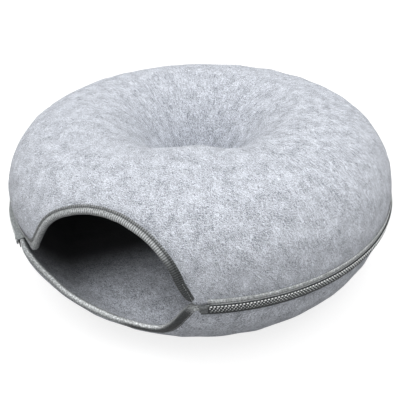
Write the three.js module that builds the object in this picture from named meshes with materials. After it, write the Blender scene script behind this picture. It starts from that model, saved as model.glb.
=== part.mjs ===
import * as THREE from 'three';

// A round felt tunnel bed for a cat, in millimetres, +Z up.
// The entrance faces -Y. Angles run from -Y towards +X, in degrees.

// Overall shape of the felt
const OUTER_RADIUS = 249;
const CROWN_HEIGHT = 200;
const CROWN_RADIUS = 137.5;
const WIDEST_HEIGHT = 88.5;
const BASE_RADIUS = 189;
const UPPER_ROUNDNESS = 2.37;
const LOWER_ROUNDNESS = 1.53;
const FELT_THICKNESS = 4;
const EDGE_SQUEEZE = 0.5;

// Dimple in the middle of the top
const FUNNEL_RADIUS = 34;
const FUNNEL_HEIGHT = 58;
const FUNNEL_ROUNDNESS = 1.75;
const HUB_RADIUS = 18;
const HUB_FOOT_RADIUS = 24;
const HUB_TOP = 8.7;

// Edges of the two shells along the zip
const UPPER_EDGE_HEIGHT = 101;
const LOWER_EDGE_HEIGHT = 98.7;
const LOWER_INSET = 2.9;
const LEFT_CORNER = -27.7;
const RIGHT_CORNER = 28;

// Binding folded over each edge
const BINDING_WIDTH = 9;
const BINDING_THICKNESS = 1;
const EDGE_SETBACK = 1.5;

// Zip
const ZIP_START = 28.6;
const ZIP_END = 333.2;
const CHAIN_START = 30.4;
const CHAIN_END = 332.2;
const TAPE_THICKNESS = 1;
const TAPE_FACE = -0.3;
const CHAIN_BACK = 0.1;
const CHAIN_THICKNESS = 2.3;
const CHAIN_HEIGHT = 96.4;
const CHAIN_WIDTH = 7.8;
const CHAIN_BEVEL = 1.2;

// Free edge of the arch and of the lip: angle, height
const ARCH = [
  [-27.7, 101], [-24.5, 103.5], [-21, 107.5], [-18.5, 110.5], [-16.5, 114.5], [-15, 120.5], [-13.6, 130],
  [-12.3, 140.5], [-11.1, 148.7], [-8.7, 157.7], [-6, 163.5], [-2.8, 168], [0.8, 170.8], [4.3, 171.6],
  [8.7, 170.2], [11.5, 167.5], [14.9, 162.7], [17.2, 157.5], [19.3, 150.5], [21.2, 141.8], [22.6, 132],
  [23.6, 122], [24.7, 113], [25.8, 106.5], [26.9, 102.6], [28, 101],
];
const LIP = [
  [-27.7, 98.7], [-25, 98.6], [-22.5, 97.6], [-20, 95], [-17, 89.5], [-13.5, 80], [-10, 71.5], [-6.5, 67],
  [-2, 63.5], [3, 59.5], [8, 54.5], [12, 50.5], [15, 49], [17.2, 50.5], [19, 55.5], [20.8, 64], [22.4, 74],
  [23.8, 84], [25, 91.5], [26.2, 96.3], [27.2, 98.3], [28, 98.7],
];

// The upper shell draws in beside the left corner; the crown waves a little above the right corner
const DRAW_IN = 8;
const DRAW_IN_REACH = 46;
const DRAW_IN_HEIGHT = 22;
const WAVE = [
  [-80, 0], [-45, -1], [-18, -4.5], [-4, -4.5], [10, 0], [29, 5.5], [44, -1], [56, -3.5], [75, -2], [110, 0],
];
const WAVE_RADIUS = 112;
const WAVE_WIDTH = 42;

// The lower edge and the zip sit a little inside the round beside the left corner and flare out past it
const BAND_SHIFT = [[-85, 0], [-48, -2], [-31, -2], [-27, 0.6], [-22, 3.6], [-17, 2.4], [-11, 0]];

// Fineness
const ZIP_COLUMNS = 52;
const ARCH_COLUMNS = 33;
const LIP_COLUMNS = 30;
const UPPER_ROWS = 14;
const LOWER_ROWS = 7;
const TAPE_COLUMNS = 72;

const radians = (degrees) => (degrees * Math.PI) / 180;

function smooth(low, high, value) {
  const x = Math.min(1, Math.max(0, (value - low) / (high - low)));
  return x * x * (3 - 2 * x);
}

// Smooth curve through the points of a table, with slopes that never overshoot
function curve(table) {
  const step = table.slice(1).map((p, i) => (p[1] - table[i][1]) / (p[0] - table[i][0]));
  const slope = table.map((_, i) => {
    if (i === 0 || i === table.length - 1) return 0;
    const [a, b] = [step[i - 1], step[i]];
    return a * b <= 0 ? 0 : (2 * a * b) / (a + b);
  });
  return (x) => {
    if (x <= table[0][0]) return table[0][1];
    if (x >= table[table.length - 1][0]) return table[table.length - 1][1];
    const i = table.findIndex((p, k) => x < table[k + 1][0]);
    const h = table[i + 1][0] - table[i][0];
    const t = (x - table[i][0]) / h;
    const [t2, t3] = [t * t, t * t * t];
    return (2 * t3 - 3 * t2 + 1) * table[i][1] + (t3 - 2 * t2 + t) * h * slope[i]
      + (3 * t2 - 2 * t3) * table[i + 1][1] + (t3 - t2) * h * slope[i + 1];
  };
}

const archHeight = curve(ARCH);
const lipHeight = curve(LIP);
const waveHeight = curve(WAVE);
const bandShift = curve(BAND_SHIFT);

// Signed angle from the entrance, between -180 and 180
const wrap = (angle) => ((((angle + 180) % 360) + 360) % 360) - 180;

// Superellipse arc from (r1, z1), where it runs along Z, to (r2, z2), where it runs along the radius
function roundedArc(r1, z1, r2, z2, roundness, count) {
  const points = [];
  for (let i = 0; i <= count; i += 1) {
    const t = (Math.PI / 2) * (i / count);
    const along = Math.pow(Math.max(0, Math.cos(t)), 2 / roundness);
    const across = Math.pow(Math.sin(t), 2 / roundness);
    points.push([r2 + (r1 - r2) * along, z1 + (z2 - z1) * across]);
  }
  return points;
}

// Polyline measured by its length, so that at(s) gives the point s millimetres along it
function measured(points) {
  const length = [0];
  for (let i = 1; i < points.length; i += 1) {
    const [a, b] = [points[i - 1], points[i]];
    length.push(length[i - 1] + Math.hypot(b[0] - a[0], b[1] - a[1]));
  }
  const total = length[length.length - 1];
  const at = (s) => {
    const x = Math.min(total, Math.max(0, s));
    let [low, high] = [0, length.length - 1];
    while (high - low > 1) {
      const middle = (low + high) >> 1;
      if (length[middle] <= x) low = middle;
      else high = middle;
    }
    const t = (x - length[low]) / (length[high] - length[low]);
    return [0, 1].map((k) => points[low][k] + (points[high][k] - points[low][k]) * t);
  };
  const atHeight = (z) => {
    const i = points.findIndex((p, k) => k > 0 && (points[k - 1][1] - z) * (p[1] - z) <= 0);
    const t = (z - points[i - 1][1]) / (points[i][1] - points[i - 1][1]);
    return length[i - 1] + (length[i] - length[i - 1]) * t;
  };
  return { total, at, atHeight };
}

const upperProfile = measured([
  ...roundedArc(OUTER_RADIUS, WIDEST_HEIGHT, CROWN_RADIUS, CROWN_HEIGHT, UPPER_ROUNDNESS, 160),
  ...roundedArc(FUNNEL_RADIUS, FUNNEL_HEIGHT, CROWN_RADIUS, CROWN_HEIGHT, FUNNEL_ROUNDNESS, 160).reverse().slice(1),
  ...roundedArc(HUB_FOOT_RADIUS, HUB_TOP + 8, HUB_RADIUS, HUB_TOP, 2, 8),
  [0, HUB_TOP],
]);
const lowerProfile = measured([
  [OUTER_RADIUS, LOWER_EDGE_HEIGHT + 3],
  ...roundedArc(OUTER_RADIUS, WIDEST_HEIGHT, BASE_RADIUS, 0, LOWER_ROUNDNESS, 160),
]);

function place(angle, radius, height) {
  const a = radians(angle);
  return new THREE.Vector3(radius * Math.sin(a), -radius * Math.cos(a), height);
}

// How far the upper shell draws in at an angle, at the height of the zip
function drawIn(angle) {
  const a = wrap(angle);
  return DRAW_IN * smooth(LEFT_CORNER - DRAW_IN_REACH, LEFT_CORNER, a) * (1 - smooth(LEFT_CORNER + 4, -12, a));
}

function upperAt(angle, s) {
  const [r, z] = upperProfile.at(s);
  const fade = r > CROWN_RADIUS ? Math.exp(-Math.max(0, z - UPPER_EDGE_HEIGHT) / DRAW_IN_HEIGHT) : 0;
  const near = Math.exp(-(((r - WAVE_RADIUS) / WAVE_WIDTH) ** 2)) * smooth(90, 170, z);
  return place(angle, r - drawIn(angle) * fade, z + waveHeight(wrap(angle)) * near);
}

function lowerAt(angle, s) {
  const [r, z] = lowerProfile.at(s);
  return place(angle, r + (bandShift(wrap(angle)) - LOWER_INSET) * smooth(52, 86, z), z);
}

// Each surface runs away from the zip: upwards for the upper shell, downwards for the lower one
const upperSurface = { at: upperAt, side: 1, length: upperProfile.total };
const lowerSurface = { at: lowerAt, side: -1, length: lowerProfile.total };

// Position, outward normal and the two directions on a surface
function frameAt(surface, angle, s) {
  const [da, ds] = [0.2, 0.8];
  const across = surface.at(angle + da, s).sub(surface.at(angle - da, s));
  const along = surface.at(angle, s + ds).sub(surface.at(angle, s - ds));
  const perDegree = across.length() / (2 * da);
  across.normalize();
  along.normalize();
  const normal = new THREE.Vector3().crossVectors(across, along).multiplyScalar(surface.side).normalize();
  return { point: surface.at(angle, s), across, along, normal, perDegree };
}

// Edge of a shell as a closed run of points: angle, distance along the profile, and the way the sheet lies
function edgeOf(surface, edgeAt, angles) {
  const point = (a) => surface.at(a, edgeAt(a));
  const raw = angles.map((a) => {
    const tangent = point(a + 0.12).sub(point(a - 0.12)).normalize();
    const f = frameAt(surface, a, edgeAt(a));
    return new THREE.Vector3().crossVectors(f.normal, tangent).multiplyScalar(surface.side).normalize();
  });
  const count = raw.length;
  return angles.map((angle, i) => {
    const inward = raw[i].clone().multiplyScalar(2).add(raw[(i + count - 1) % count]).add(raw[(i + 1) % count]);
    return { angle, s: edgeAt(angle), inward: inward.normalize() };
  });
}

// Place on the surface a distance into the sheet, square to its edge
function fromEdge(surface, edge, distance) {
  let { angle, s } = edge;
  const steps = Math.max(1, Math.ceil(distance / 3));
  for (let i = 0; i < steps; i += 1) {
    const f = frameAt(surface, angle, s);
    angle += ((distance / steps) * edge.inward.dot(f.across)) / f.perDegree;
    s += (distance / steps) * edge.inward.dot(f.along);
  }
  return { angle, s };
}

// Point a depth below a place on the surface
function below(surface, { angle, s }, depth) {
  const f = frameAt(surface, angle, s);
  return f.point.addScaledVector(f.normal, -depth);
}

// Solid between a front and a back grid of points; columns may close round the ring
function ribbon(name, front, back, closed, material) {
  const [columns, rows] = [front.length, front[0].length];
  const position = [];
  [front, back].forEach((grid) => grid.forEach((column) => column.forEach((p) => position.push(p.x, p.y, p.z))));
  const f = (i, k) => (i % columns) * rows + k;
  const b = (i, k) => columns * rows + (i % columns) * rows + k;
  const corner = (v) => new THREE.Vector3().fromArray(position, 3 * v);
  const apart = (u, v) => corner(u).distanceTo(corner(v)) > 1e-4;
  const triangles = [];
  const triangle = (u, v, w) => {
    if (apart(u, v) && apart(v, w) && apart(w, u)) triangles.push(u, v, w);
  };
  const quad = (u, v, w, x) => {
    triangle(u, v, w);
    triangle(u, w, x);
  };
  const spans = closed ? columns : columns - 1;
  for (let i = 0; i < spans; i += 1) {
    for (let k = 0; k < rows - 1; k += 1) {
      quad(f(i, k), f(i + 1, k), f(i + 1, k + 1), f(i, k + 1));
      quad(b(i, k + 1), b(i + 1, k + 1), b(i + 1, k), b(i, k));
    }
    quad(b(i, 0), b(i + 1, 0), f(i + 1, 0), f(i, 0));
    quad(f(i, rows - 1), f(i + 1, rows - 1), b(i + 1, rows - 1), b(i, rows - 1));
  }
  for (let k = 0; !closed && k < rows - 1; k += 1) {
    const last = columns - 1;
    quad(f(0, k), f(0, k + 1), b(0, k + 1), b(0, k));
    quad(b(last, k), b(last, k + 1), f(last, k + 1), f(last, k));
  }
  let volume = 0;
  for (let t = 0; t < triangles.length; t += 3) {
    const [u, v, w] = [0, 1, 2].map((k) => corner(triangles[t + k]));
    volume += u.dot(v.cross(w));
  }
  const geometry = new THREE.BufferGeometry();
  geometry.setAttribute('position', new THREE.Float32BufferAttribute(position, 3));
  geometry.setIndex(volume < 0 ? triangles.reverse() : triangles);
  geometry.computeVertexNormals();
  const mesh = new THREE.Mesh(geometry, material);
  mesh.name = name;
  return mesh;
}

// Angles of the columns: even round the zip, and even along the cut edge in the opening
function columnAngles(surface, edgeAt, count) {
  const fine = 400;
  const angles = [];
  for (let i = 0; i <= fine; i += 1) angles.push(LEFT_CORNER + ((RIGHT_CORNER - LEFT_CORNER) * i) / fine);
  const points = angles.map((a) => surface.at(a, edgeAt(a)));
  const length = [0];
  points.slice(1).forEach((p, i) => length.push(length[i] + p.distanceTo(points[i])));
  const result = [];
  for (let i = 0; i < count; i += 1) {
    const target = (length[fine] * i) / count;
    const k = Math.max(1, length.findIndex((l) => l >= target));
    const t = (target - length[k - 1]) / (length[k] - length[k - 1]);
    result.push(angles[k - 1] + (angles[k] - angles[k - 1]) * t);
  }
  for (let i = 0; i < ZIP_COLUMNS; i += 1) {
    result.push(RIGHT_CORNER + ((360 + LEFT_CORNER - RIGHT_CORNER) * i) / ZIP_COLUMNS);
  }
  return result;
}

const felt = new THREE.MeshStandardMaterial({ color: 0xb9bdc6, roughness: 0.95, metalness: 0 });
const woven = new THREE.MeshStandardMaterial({ color: 0x8d9294, roughness: 0.8, metalness: 0 });
const tape = new THREE.MeshStandardMaterial({ color: 0x7b8082, roughness: 0.8, metalness: 0 });
const teeth = new THREE.MeshStandardMaterial({ color: 0x83878a, roughness: 0.45, metalness: 0 });
const stop = new THREE.MeshStandardMaterial({ color: 0xb4b7ba, roughness: 0.35, metalness: 0.9 });

const upperEdgeAt = (a) => upperProfile.atHeight(archHeight(wrap(a)));
const lowerEdgeAt = (a) => lowerProfile.atHeight(lipHeight(wrap(a)));
const upperEdge = edgeOf(upperSurface, upperEdgeAt, columnAngles(upperSurface, upperEdgeAt, ARCH_COLUMNS));
const lowerEdge = edgeOf(lowerSurface, lowerEdgeAt, columnAngles(lowerSurface, lowerEdgeAt, LIP_COLUMNS));

// Columns of a shell: square to its edge under the binding, then straight along the profile to its end.
// The felt is squeezed under the binding.
function shellColumns(surface, edges, end, rows) {
  const pair = (at, squeeze) => [below(surface, at, squeeze), below(surface, at, FELT_THICKNESS - squeeze)];
  return edges.map((edge) => {
    const [rim, fold, free] = [EDGE_SETBACK, BINDING_WIDTH + 1, BINDING_WIDTH + 5].map((d) => fromEdge(surface, edge, d));
    const column = [pair(rim, EDGE_SQUEEZE), pair(fold, EDGE_SQUEEZE), pair(free, 0)];
    for (let k = 1; k <= rows; k += 1) {
      const t = k / rows;
      column.push(pair({ angle: free.angle, s: free.s + (end - free.s) * (0.6 * t + 0.4 * t * t) }, 0));
    }
    return column;
  });
}

const halves = (name, columns, closed, material) => ribbon(
  name,
  columns.map((column) => column.map((pair) => pair[0])),
  columns.map((column) => column.map((pair) => pair[1])),
  closed,
  material,
);

// Upper shell: over the crown and down the funnel to the closed hub
const upperColumns = shellColumns(upperSurface, upperEdge, upperProfile.total - HUB_RADIUS - 1, UPPER_ROWS);
upperColumns.forEach((column) => column.push([place(0, 0, HUB_TOP), place(0, 0, HUB_TOP - FELT_THICKNESS)]));

// Lower shell: down the wall to the flat base
const lowerColumns = shellColumns(lowerSurface, lowerEdge, lowerProfile.total - 1, LOWER_ROWS);
lowerColumns.forEach((column) => column.push([place(0, 0, 0), place(0, 0, FELT_THICKNESS)]));

// Binding: distance from the free edge and depth below the outer face, outside and inside of the fold
const far = FELT_THICKNESS + BINDING_THICKNESS;
const BINDING_OUTSIDE = [
  [BINDING_WIDTH, -BINDING_THICKNESS], [0.8, -BINDING_THICKNESS], [0, 0.4], [0, FELT_THICKNESS - 0.4], [0.8, far],
  [BINDING_WIDTH, far],
];
const BINDING_INSIDE = [
  [BINDING_WIDTH, 0], [1.4, 0], [1, 0.9], [1, FELT_THICKNESS - 0.9], [1.4, FELT_THICKNESS],
  [BINDING_WIDTH, FELT_THICKNESS],
];
function binding(name, surface, edges) {
  const side = (path) => edges.map((edge) => path.map(([distance, depth]) => below(surface, fromEdge(surface, edge, distance), depth)));
  return ribbon(name, side(BINDING_OUTSIDE), side(BINDING_INSIDE), true, woven);
}

// Strip between two angles; its section is given outwards from the felt's widest radius, and in height
function strip(name, start, end, columns, section, material) {
  const angles = [];
  for (let i = 0; i <= columns; i += 1) angles.push(start + ((end - start) * i) / columns);
  const side = (which) => angles.map((angle) => section(angle)[which]
    .map(([out, height]) => place(angle, OUTER_RADIUS + out, height)));
  return ribbon(name, side(0), side(1), false, material);
}

// Upper zip tape: behind the upper binding, then out under its fold, then down behind the teeth
function upperTapeSection(angle) {
  const behind = -drawIn(angle) - far - 0.9;
  const top = UPPER_EDGE_HEIGHT - 0.6;
  const under = top - TAPE_THICKNESS;
  const outer = TAPE_FACE + bandShift(wrap(angle));
  const inner = outer - TAPE_THICKNESS;
  return [
    [[behind - 1.4, UPPER_EDGE_HEIGHT + 9], [behind, top], [outer, top], [outer, CHAIN_HEIGHT + 0.3]],
    [[behind - 2.4, UPPER_EDGE_HEIGHT + 9], [behind - 1, under], [inner, under], [inner, CHAIN_HEIGHT + 0.3]],
  ];
}

// Lower zip tape: flat on the outside of the lower binding
function lowerTapeSection(angle) {
  const outer = TAPE_FACE + bandShift(wrap(angle));
  const [top, bottom] = [CHAIN_HEIGHT - 0.3, CHAIN_HEIGHT - 8];
  return [[[outer, top], [outer, bottom]], [[outer - TAPE_THICKNESS, top], [outer - TAPE_THICKNESS, bottom]]];
}

// Block with bevelled outer edges, set on the tapes
const raised = (width, thickness) => (angle) => {
  const [low, high] = [CHAIN_HEIGHT - width / 2, CHAIN_HEIGHT + width / 2];
  const back = CHAIN_BACK + bandShift(wrap(angle));
  const face = back + thickness;
  const shoulder = face - CHAIN_BEVEL;
  return [
    [[shoulder, high], [face, high - CHAIN_BEVEL], [face, low + CHAIN_BEVEL], [shoulder, low]],
    [[back, high], [back, high - CHAIN_BEVEL], [back, low + CHAIN_BEVEL], [back, low]],
  ];
};

const group = new THREE.Group();
group.name = 'felt_tunnel_bed';
group.add(
  halves('lower_shell', lowerColumns, true, felt),
  halves('upper_shell', upperColumns, true, felt),
  binding('lower_binding', lowerSurface, lowerEdge),
  binding('upper_binding', upperSurface, upperEdge),
  strip('lower_zip_tape', ZIP_START, ZIP_END, TAPE_COLUMNS, lowerTapeSection, tape),
  strip('upper_zip_tape', ZIP_START, ZIP_END, TAPE_COLUMNS, upperTapeSection, tape),
  strip('zip_chain', CHAIN_START, CHAIN_END, TAPE_COLUMNS, raised(CHAIN_WIDTH, CHAIN_THICKNESS), teeth),
  strip('zip_start_tab', 28.3, 30.1, 2, raised(8.2, 2), tape),
  strip('zip_end_stop', 332.4, 333.1, 2, raised(6.4, 2.2), stop),
);

export default group;
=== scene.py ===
import bpy
import numpy as np
from mathutils import Matrix


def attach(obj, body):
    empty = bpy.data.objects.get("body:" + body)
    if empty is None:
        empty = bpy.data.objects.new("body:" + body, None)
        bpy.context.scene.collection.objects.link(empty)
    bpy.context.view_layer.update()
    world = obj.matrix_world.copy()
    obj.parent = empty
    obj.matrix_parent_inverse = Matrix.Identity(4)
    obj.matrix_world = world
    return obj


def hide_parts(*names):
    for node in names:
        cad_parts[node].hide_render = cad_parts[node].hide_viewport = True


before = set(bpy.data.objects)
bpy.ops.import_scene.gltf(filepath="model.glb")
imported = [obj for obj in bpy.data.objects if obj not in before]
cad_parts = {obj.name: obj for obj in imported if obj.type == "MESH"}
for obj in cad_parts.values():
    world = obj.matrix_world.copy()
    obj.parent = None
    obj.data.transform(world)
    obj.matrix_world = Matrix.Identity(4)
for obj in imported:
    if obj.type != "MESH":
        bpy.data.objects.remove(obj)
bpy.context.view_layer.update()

# ----------------------------------------------------------
# Upper shell. The whole top of the bed is one sheet of needle-punched felt, pressed with heat into a
# crowned ring that turns down in the middle into a dimple with a closed end. A high arch is cut out of
# it for the entrance. Lengths are in millimetres; angles run from the entrance towards +X, in degrees.
MM = 0.001
OUTER_RADIUS, WIDEST_HEIGHT = 249, 88.5
CROWN_RADIUS, CROWN_HEIGHT, CROWN_ROUNDNESS = 137.5, 200, 2.37
FUNNEL_RADIUS, FUNNEL_HEIGHT, FUNNEL_ROUNDNESS = 34, 58, 1.75
HUB_RADIUS, HUB_FOOT_RADIUS, HUB_TOP = 18, 24, 8.7
FELT_THICKNESS, EDGE_SQUEEZE = 4, 0.5
LEFT_CORNER, RIGHT_CORNER = -27.7, 28
UPPER_EDGE_HEIGHT = 101
ARCH = [
    [-27.7, 101], [-24.5, 103.5], [-21, 107.5], [-18.5, 110.5], [-16.5, 114.5], [-15, 120.5], [-13.6, 130],
    [-12.3, 140.5], [-11.1, 148.7], [-8.7, 157.7], [-6, 163.5], [-2.8, 168], [0.8, 170.8], [4.3, 171.6],
    [8.7, 170.2], [11.5, 167.5], [14.9, 162.7], [17.2, 157.5], [19.3, 150.5], [21.2, 141.8], [22.6, 132],
    [23.6, 122], [24.7, 113], [25.8, 106.5], [26.9, 102.6], [28, 101],
]
DRAW_IN, DRAW_IN_REACH, DRAW_IN_HEIGHT = 8, 46, 22
WAVE = [
    [-80, 0], [-45, -1], [-18, -4.5], [-4, -4.5], [10, 0], [29, 5.5], [44, -1], [56, -3.5], [75, -2],
    [110, 0],
]
WAVE_RADIUS, WAVE_WIDTH = 112, 42
UNDULATION, UNDULATION_WAVES = 0.35, 48
EDGE_EVENING = 18
ANGLE_STEP, RUN_STEP, EDGE_STEP = 0.2, 0.8, 0.12


def smooth(low, high, value):
    """Goes from 0 at low to 1 at high as 3x^2 - 2x^3."""
    x = np.clip((value - low) / (high - low), 0, 1)
    return x * x * (3 - 2 * x)


def curve(table):
    """Smooth run through the points of a table: cubic pieces, whose slope at a point is the harmonic mean of
    the slopes beside it, and 0 at a peak and at both ends, so that it never overshoots."""
    x, y = np.array(table, float).T
    steps = np.diff(y) / np.diff(x)
    before, after = steps[:-1], steps[1:]
    turns = before * after <= 0
    slope = np.zeros_like(x)
    slope[1:-1] = np.where(turns, 0, 2 * before * after / np.where(turns, 1, before + after))

    def at(value):
        value = np.clip(value, x[0], x[-1])
        i = np.clip(np.searchsorted(x, value, side="right") - 1, 0, len(x) - 2)
        h = x[i + 1] - x[i]
        t = (value - x[i]) / h
        return ((2 * t**3 - 3 * t**2 + 1) * y[i] + (t**3 - 2 * t**2 + t) * h * slope[i]
                + (3 * t**2 - 2 * t**3) * y[i + 1] + (t**3 - t**2) * h * slope[i + 1])

    return at


arch_height, wave_height = curve(ARCH), curve(WAVE)


def wrap(angle):
    """Angle from the entrance, between -180 and 180."""
    return (angle + 180) % 360 - 180


def rounded_arc(start, end, roundness, count=1200):
    """Superellipse arc from start, where it runs along Z, to end, where it runs along the radius: radius
    r2 + (r1 - r2) cos(t)^(2/n) and height z1 + (z2 - z1) sin(t)^(2/n), for roundness n."""
    (r1, z1), (r2, z2) = start, end
    t = np.linspace(0, np.pi / 2, count)
    along, across = np.cos(t).clip(0) ** (2 / roundness), np.sin(t) ** (2 / roundness)
    return np.stack([r2 + (r1 - r2) * along, z1 + (z2 - z1) * across], axis=1)


def run_along(points):
    """Distance along a row of points from the first of them to each."""
    return np.append(0, np.cumsum(np.linalg.norm(np.diff(points, axis=0), axis=1)))


def measured(*runs):
    """Runs of radius and height joined into one profile, with the length along it at each point."""
    points = np.concatenate(runs)
    points = points[np.append(True, np.linalg.norm(np.diff(points, axis=0), axis=1) > 1e-6)]
    return run_along(points), points


def length_at(profile, height):
    """Distance along a profile where it first reaches a height."""
    length, points = profile
    way = np.sign(points[1, 1] - points[0, 1])
    first = slice(0, 1 + np.argmax(way * points[:, 1]))
    return np.interp(way * height, way * points[first, 1], length[first])


def stacked(*parts):
    """Arrays and single numbers side by side in a new last axis."""
    return np.stack(np.broadcast_arrays(*parts), axis=-1)


def place(angle, radius, height):
    """Point at an angle, a radius and a height."""
    a = np.radians(angle)
    return stacked(radius * np.sin(a), -radius * np.cos(a), height)


upper_profile = measured(
    rounded_arc((OUTER_RADIUS, WIDEST_HEIGHT), (CROWN_RADIUS, CROWN_HEIGHT), CROWN_ROUNDNESS),
    rounded_arc((FUNNEL_RADIUS, FUNNEL_HEIGHT), (CROWN_RADIUS, CROWN_HEIGHT), FUNNEL_ROUNDNESS)[::-1],
    rounded_arc((HUB_FOOT_RADIUS, HUB_TOP + 8), (HUB_RADIUS, HUB_TOP), 2, 60),
    [[0, HUB_TOP]],
)
upper_end = upper_profile[0][-1]
crown_length = length_at(upper_profile, CROWN_HEIGHT)


def draw_in(angle):
    """How far the upper shell draws in at the height of the zip: it grows up to the left corner, and fades
    past it."""
    a = wrap(angle)
    grown = smooth(LEFT_CORNER - DRAW_IN_REACH, LEFT_CORNER, a)
    return DRAW_IN * grown * (1 - smooth(LEFT_CORNER + 4, -12, a))


def upper_at(angle, s):
    """Outer face of the upper shell: its profile carried round, drawn in beside the left corner with an
    exponential fade upwards, and waved a little round the inside of the crown."""
    r, z = (np.interp(s, upper_profile[0], upper_profile[1][:, k]) for k in (0, 1))
    low = np.where(r > CROWN_RADIUS, np.exp(-np.maximum(0, z - UPPER_EDGE_HEIGHT) / DRAW_IN_HEIGHT), 0)
    near = np.exp(-(((r - WAVE_RADIUS) / WAVE_WIDTH) ** 2)) * smooth(90, 170, z)
    return place(angle, r - draw_in(angle) * low, z + wave_height(wrap(angle)) * near)


def upper_edge_at(angle):
    """Distance along the profile at which the upper shell is cut."""
    return length_at(upper_profile, arch_height(wrap(angle)))


upper = (upper_at, 1)  # the outer face, and the sign that turns its normal outwards


def unit(vectors):
    """Vectors scaled to a length of 1."""
    return vectors / np.linalg.norm(vectors, axis=-1, keepdims=True)


def frame_at(shell, angle, s):
    """Point of a shell, its outward normal, its directions across and along, and its millimetres a degree, by
    differences over short steps."""
    at, side = shell
    across = at(angle + ANGLE_STEP, s) - at(angle - ANGLE_STEP, s)
    along = at(angle, s + RUN_STEP) - at(angle, s - RUN_STEP)
    per_degree = np.linalg.norm(across, axis=-1) / (2 * ANGLE_STEP)
    return at(angle, s), side * unit(np.cross(across, along)), unit(across), unit(along), per_degree


def edge_of(shell, edge_at, angles, rounds):
    """Cut edge of a shell: angle, distance along the profile, and the direction into the sheet square to the
    edge, which is evened out with its neighbours a number of rounds."""
    at, side = shell
    s = edge_at(angles)
    before, after = angles - EDGE_STEP, angles + EDGE_STEP
    tangent = unit(at(after, edge_at(after)) - at(before, edge_at(before)))
    inward = side * unit(np.cross(frame_at(shell, angles, s)[1], tangent))
    for _ in range(rounds):
        inward = unit(2 * inward + np.roll(inward, 1, axis=0) + np.roll(inward, -1, axis=0))
    return angles, s, inward


def from_edge(shell, edge, distance):
    """Place on a shell a distance into the sheet, square to its edge, walked in steps of at most 3 mm."""
    angle, s, inward = edge
    steps = max(1, int(np.ceil(np.max(np.abs(distance)) / 3)))
    for _ in range(steps):
        _, _, across, along, per_degree = frame_at(shell, angle, s)
        angle = angle + distance / steps * (inward * across).sum(-1) / per_degree
        s = s + distance / steps * (inward * along).sum(-1)
    return angle, s


def below(shell, angle, s, depth):
    """Point a depth under the outer face of a shell."""
    point, normal = frame_at(shell, angle, s)[:2]
    return point - normal * np.asarray(depth)[..., None]


def columns_of(shell, edge_at, spacing_in_opening, spacing_round_zip):
    """Angles of the columns of a shell: even along the cut edge in the opening, then even round the zip."""
    fine = np.linspace(LEFT_CORNER, RIGHT_CORNER, 4000)
    run = run_along(shell[0](fine, edge_at(fine)))
    opening = int(run[-1] / spacing_in_opening)
    zipped = int(np.radians(360 + LEFT_CORNER - RIGHT_CORNER) * OUTER_RADIUS / spacing_round_zip)
    return np.append(
        np.interp(np.arange(opening) / opening * run[-1], run, fine),
        RIGHT_CORNER + (360 + LEFT_CORNER - RIGHT_CORNER) * np.arange(zipped) / zipped,
    )


waves = np.random.default_rng(7)
wave_length = waves.uniform(14, 60, UNDULATION_WAVES)
wave_way = waves.uniform(0, 2 * np.pi, UNDULATION_WAVES)
wave_phase = waves.uniform(0, 2 * np.pi, UNDULATION_WAVES)


def undulation(at):
    """Slight unevenness of pressed felt: a sum of plane waves over the flat sheet, each as high as it is
    long, scaled so that their spread is the undulation."""
    x = at[..., 0, None] * np.cos(wave_way) + at[..., 1, None] * np.sin(wave_way)
    heights = np.cos(2 * np.pi * x / wave_length + wave_phase) * wave_length
    return UNDULATION * heights.sum(-1) / np.sqrt((wave_length**2).sum() / 2)


def add_piece(name, points, faces, material):
    """Smooth object of a mesh whose points are in millimetres."""
    mesh = bpy.data.meshes.new(name)
    mesh.from_pydata((points * MM).tolist(), [], faces)
    mesh.shade_smooth()
    mesh.materials.append(material)
    piece = bpy.data.objects.new(name, mesh)
    bpy.context.scene.collection.objects.link(piece)
    return piece


def skin(name, grid, material, ring=True, loop=False, poles=None, **attributes):
    """Mesh of a grid of columns by rows of points. The last column joins the first for a ring, and the last
    row the first for a loop; poles close the first and last rows, and flat ends close an open loop."""
    columns, rows = grid.shape[:2]
    i = np.arange(columns if ring else columns - 1)[:, None]
    k = np.arange(rows if loop else rows - 1)[None, :]
    next_i, next_k = (i + 1) % columns, (k + 1) % rows
    quads = stacked(i * rows + k, next_i * rows + k, next_i * rows + next_k, i * rows + next_k).reshape(-1, 4)
    faces = quads.tolist()
    points = grid.reshape(-1, 3)
    if poles is not None:
        first, last = (i * rows)[:, 0], (next_i * rows)[:, 0]
        fans = [np.stack([last, first, np.full(len(first), len(points))], -1),
                np.stack([first + rows - 1, last + rows - 1, np.full(len(first), len(points) + 1)], -1)]
        faces += np.concatenate(fans).tolist()
        points = np.concatenate([points, poles])
    if not ring:
        faces += [list(range(rows)), list(range(columns * rows - 1, (columns - 1) * rows - 1, -1))]
    a, b, c, d = (points[quads[:, n]] for n in range(4))
    volume = (a * np.cross(b, c)).sum() + (a * np.cross(c, d)).sum()
    if volume < 0:
        faces = [face[::-1] for face in faces]
    piece = add_piece(name, points, faces, material)
    for key, values in attributes.items():
        values = np.concatenate([values.reshape(-1, 3), np.zeros((len(points) - columns * rows, 3))])
        stored = piece.data.attributes.new(key, "FLOAT_VECTOR", "POINT")
        stored.data.foreach_set("vector", values.astype(np.float32).ravel())
    return piece


def node(tree, kind, inputs=None, **settings):
    """Adds a shader node. An input, by name or number, takes a value, or a link where it is given a
    socket."""
    made = tree.nodes.new(kind)
    for key, value in settings.items():
        setattr(made, key, value)
    for key, value in (inputs or {}).items():
        if isinstance(value, bpy.types.NodeSocket):
            tree.links.new(value, made.inputs[key])
        else:
            made.inputs[key].default_value = value
    return made


def reckon(tree, operation, *values):
    """Result of a sum, product or other operation on values and sockets."""
    return node(tree, "ShaderNodeMath", dict(enumerate(values)), operation=operation).outputs[0]


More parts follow.
